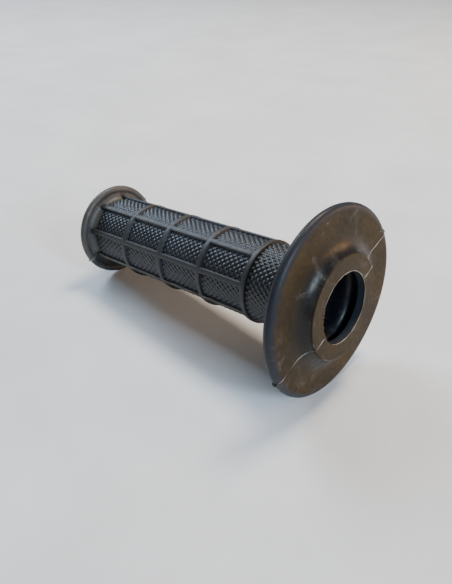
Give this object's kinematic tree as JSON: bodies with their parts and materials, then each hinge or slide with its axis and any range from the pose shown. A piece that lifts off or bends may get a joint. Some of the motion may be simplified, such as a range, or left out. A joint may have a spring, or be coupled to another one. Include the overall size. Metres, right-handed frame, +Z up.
{
  "type": "throttle grip",
  "caption": "Moulded rubber motorcycle throttle grip with a closed outer end, a ribbed and knurled body, and a wide round thumb flange with a flared mouth.",
  "frame": {"origin": "centre of the bore's mouth, on the raised face of the thumb flange", "axes": "+X along the grip's axis and out of the mouth, towards the throttle housing; the body runs back to -X; +Z up with the grip's axis level"},
  "size_m": [0.119, 0.066, 0.066],
  "materials": {
    "body_rubber": "smooth moulded rubber, cool black, satin",
    "knurl_rubber": "diamond-knurled moulded rubber, cool black, satin",
    "band_rubber": "moulded rubber, dark grey where the tops are rubbed",
    "collar_rubber": "moulded rubber with a thin brown bloom, satin",
    "flange_rubber": "moulded rubber with a brown bloom and dusty scuffs, satin",
    "mouth_rubber": "smooth moulded rubber, slightly glossy inside the mouth",
    "flash_rubber": "thin trimmed moulding flash, matt"
  },
  "bodies": {
    "root": {"sleeve": "body_rubber", "end_cap": "collar_rubber", "end_collar": "collar_rubber", "end_collar_bead": "collar_rubber", "collar_fillet": "collar_rubber", "thumb_flange": "flange_rubber", "flange_rim_bead": "flange_rubber", "flange_flare": "flange_rubber", "flange_root": "mouth_rubber", "groove_wall": "mouth_rubber", "mouth_lip": "mouth_rubber", "grip_ring_1": "band_rubber", "grip_ring_2": "band_rubber", "grip_ring_3": "band_rubber", "grip_ring_4": "band_rubber", "long_rib_1": "band_rubber", "long_rib_2": "band_rubber", "long_rib_3": "band_rubber", "long_rib_4": "band_rubber", "long_rib_5": "band_rubber", "long_rib_6": "band_rubber", "long_rib_7": "band_rubber", "long_rib_8": "band_rubber", "knurl_zone_1": "knurl_rubber", "knurl_zone_2": "knurl_rubber", "knurl_zone_3": "knurl_rubber", "knurl_zone_4": "knurl_rubber", "knurl_zone_5": "knurl_rubber", "flash_tabs": "flash_rubber"}
  },
  "joints": []
}
